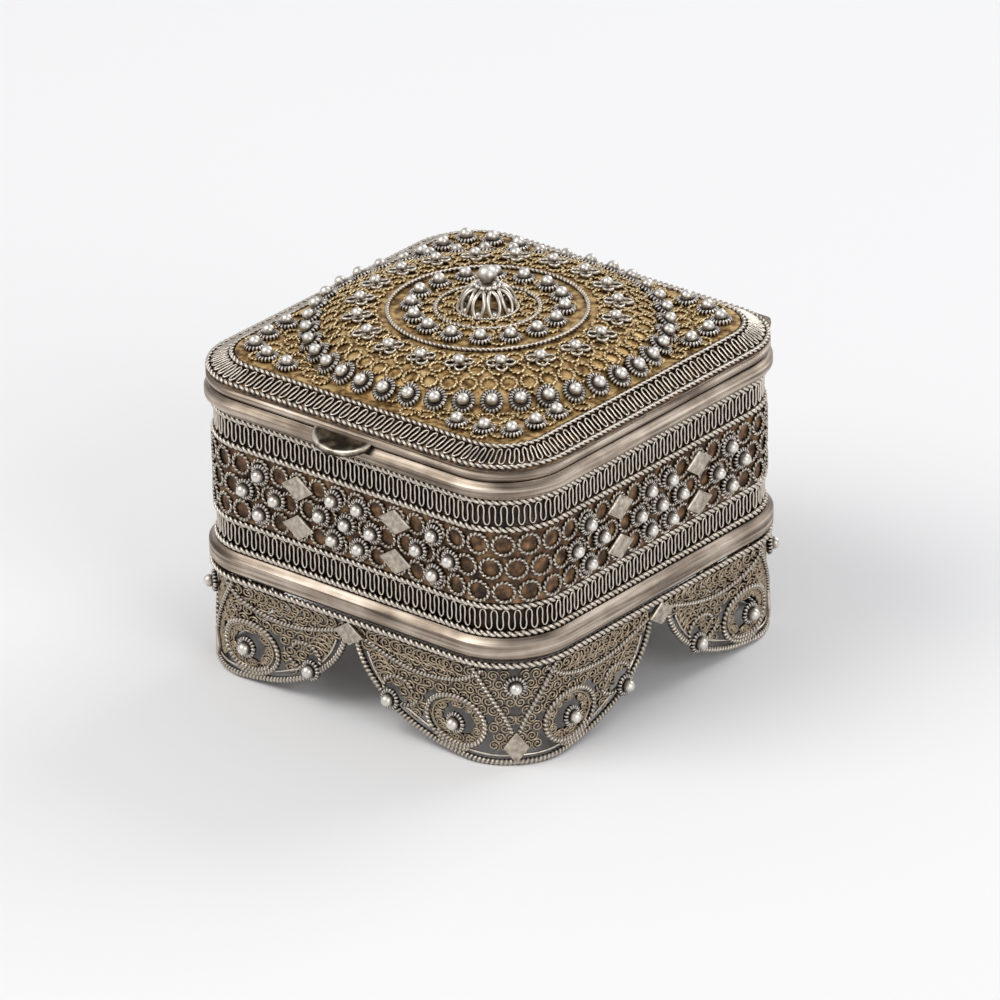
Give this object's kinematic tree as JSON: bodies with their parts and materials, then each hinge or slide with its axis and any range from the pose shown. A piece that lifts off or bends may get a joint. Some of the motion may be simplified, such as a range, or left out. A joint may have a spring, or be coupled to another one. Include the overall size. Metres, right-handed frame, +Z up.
{
  "type": "spice box",
  "caption": "Square filigree spice box with rounded corners, domed lid hinged at the back, thumb tab, finial and openwork corner feet.",
  "frame": {"origin": "centre of the footprint, on the surface that the four lobes stand on", "axes": "+X to the right of the box, -Y the front with the thumb tab, +Y the hinge, +Z up"},
  "size_m": [0.0622, 0.0673, 0.0563],
  "materials": {
    "silver": "aged drawn silver wire and sheet, standing in for silver",
    "silver_bright": "rubbed bright silver granules, standing in for silver",
    "silver_dark": "oxidised silver wirework over a dark sheet",
    "gilt": "worn gilding",
    "patina_gilt": "brown patina over gilding"
  },
  "bodies": {
    "box": {"wall_liner": "silver", "floor_plate": "silver", "mouth_rim": "silver", "base_rim": "silver", "wall_rope_1": "silver", "wall_rope_2": "silver", "wall_rope_3": "silver", "wall_rope_4": "silver", "lower_serpentine_band": "silver_dark", "upper_serpentine_band": "silver_dark", "wall_ring_panel": "patina_gilt", "wall_rosette_cups": "silver", "wall_granules": "silver_bright", "wall_lozenges": "silver", "skirt_rope": "silver", "skirt_lobe_front_right": "silver", "skirt_lobe_back_right": "silver", "skirt_lobe_back_left": "silver", "skirt_lobe_front_left": "silver", "skirt_rosette_cups": "silver", "skirt_granules": "silver_bright", "foot_lozenges": "silver", "valley_lozenges": "silver", "box_knuckles": "silver", "hinge_pin": "silver"},
    "lid": {"lid_plate": "silver", "lid_rim": "silver", "lid_bezel": "silver", "lid_outer_rope": "silver", "lid_serpentine_band": "silver_dark", "lid_inner_rope": "silver", "lid_ground": "gilt", "lid_inner_circle": "silver", "lid_outer_circle": "silver", "lid_rosette_cups": "silver", "lid_granules": "silver_bright", "clover_loops": "silver", "clover_granules": "silver_bright", "finial_cage": "silver", "finial_crown": "silver_bright", "finial_bead": "silver_bright", "thumb_tab": "silver", "lid_knuckles": "silver"}
  },
  "joints": [
    {"name": "lid_hinge", "type": "hinge", "parent": "box", "child": "lid", "pos_m": [0, 0.03245, 0.0419], "axis": [-1, 0, 0], "range_deg": [0, 105]}
  ]
}
